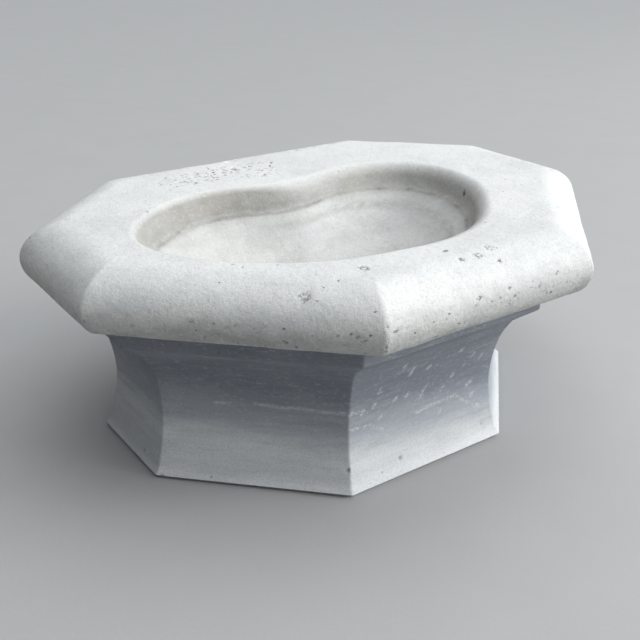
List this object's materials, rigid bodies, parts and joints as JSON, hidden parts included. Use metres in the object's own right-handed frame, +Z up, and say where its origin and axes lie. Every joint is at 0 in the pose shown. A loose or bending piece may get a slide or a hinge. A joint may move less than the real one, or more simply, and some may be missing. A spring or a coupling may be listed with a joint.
{
  "type": "baptismal font",
  "caption": "Octagonal stone font head with a rounded pale rim, a kidney-shaped bowl, a coved grey body, a brass waste and a lift-out plug.",
  "frame": {"origin": "middle of the overall box, on the flat underside that the font stands on", "axes": "+Z up; X along the length of the octagon; -Y towards the front, where the octagon's shorter long side is, and +Y towards the back, where the bowl's lip bulges inwards"},
  "size_m": [0.44, 0.339, 0.166],
  "materials": {
    "white_marble": "matte",
    "grey_marble": "satin",
    "lime_mortar": "matte",
    "dowel_bronze": "matte",
    "lead": "matte",
    "aged_brass": "satin",
    "putty": "matte",
    "rubber": "matte"
  },
  "bodies": {
    "font": {"basin_stone": "white_marble", "body_stone": "grey_marble", "bed_mortar": "lime_mortar", "dowels": "dowel_bronze", "dowel_lead": "lead", "waste": "aged_brass", "waste_putty": "putty", "waste_washer": "rubber", "waste_backnut": "aged_brass"},
    "plug": {"plug": "aged_brass", "plug_seal": "rubber", "plug_nut": "aged_brass"}
  },
  "joints": [
    {"name": "plug_lift", "type": "slide", "parent": "font", "child": "plug", "axis": [0, 0, 1], "range_m": [0, 0.04]}
  ]
}
